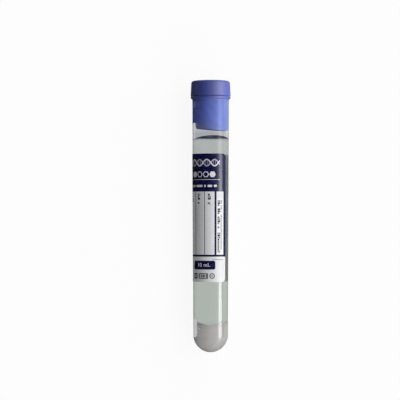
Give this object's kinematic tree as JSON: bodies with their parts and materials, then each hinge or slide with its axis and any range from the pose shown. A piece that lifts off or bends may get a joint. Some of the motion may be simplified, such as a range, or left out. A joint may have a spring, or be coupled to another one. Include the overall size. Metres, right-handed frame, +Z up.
{
  "type": "blood collection tube",
  "caption": "Clear round-bottomed blood collection tube with a blue rubber stopper, a wrap-around label, liquid and separator gel, lying on its side.",
  "frame": {"origin": "centre of the bounding box's base, on the surface that the tube lies on", "axes": "+Y along the tube towards its stopper, +Z up from the surface that it lies on"},
  "size_m": [0.0182, 0.1224, 0.0181],
  "materials": {
    "clear_plastic": "clear polished moulding",
    "blue_rubber": "matt periwinkle-blue moulding",
    "label_film": "white film printed navy, satin varnish",
    "liquid": "clear, faintly green",
    "gel": "cloudy warm grey"
  },
  "bodies": {
    "tube": {"tube": "clear_plastic", "label": "label_film", "anticoagulant": "liquid", "separator_gel": "gel"},
    "stopper": {"stopper": "blue_rubber"}
  },
  "joints": [
    {"name": "stopper_pull", "type": "slide", "parent": "tube", "child": "stopper", "axis": [0, 0.9999, 0.0122], "range_m": [0, 0.035]}
  ]
}
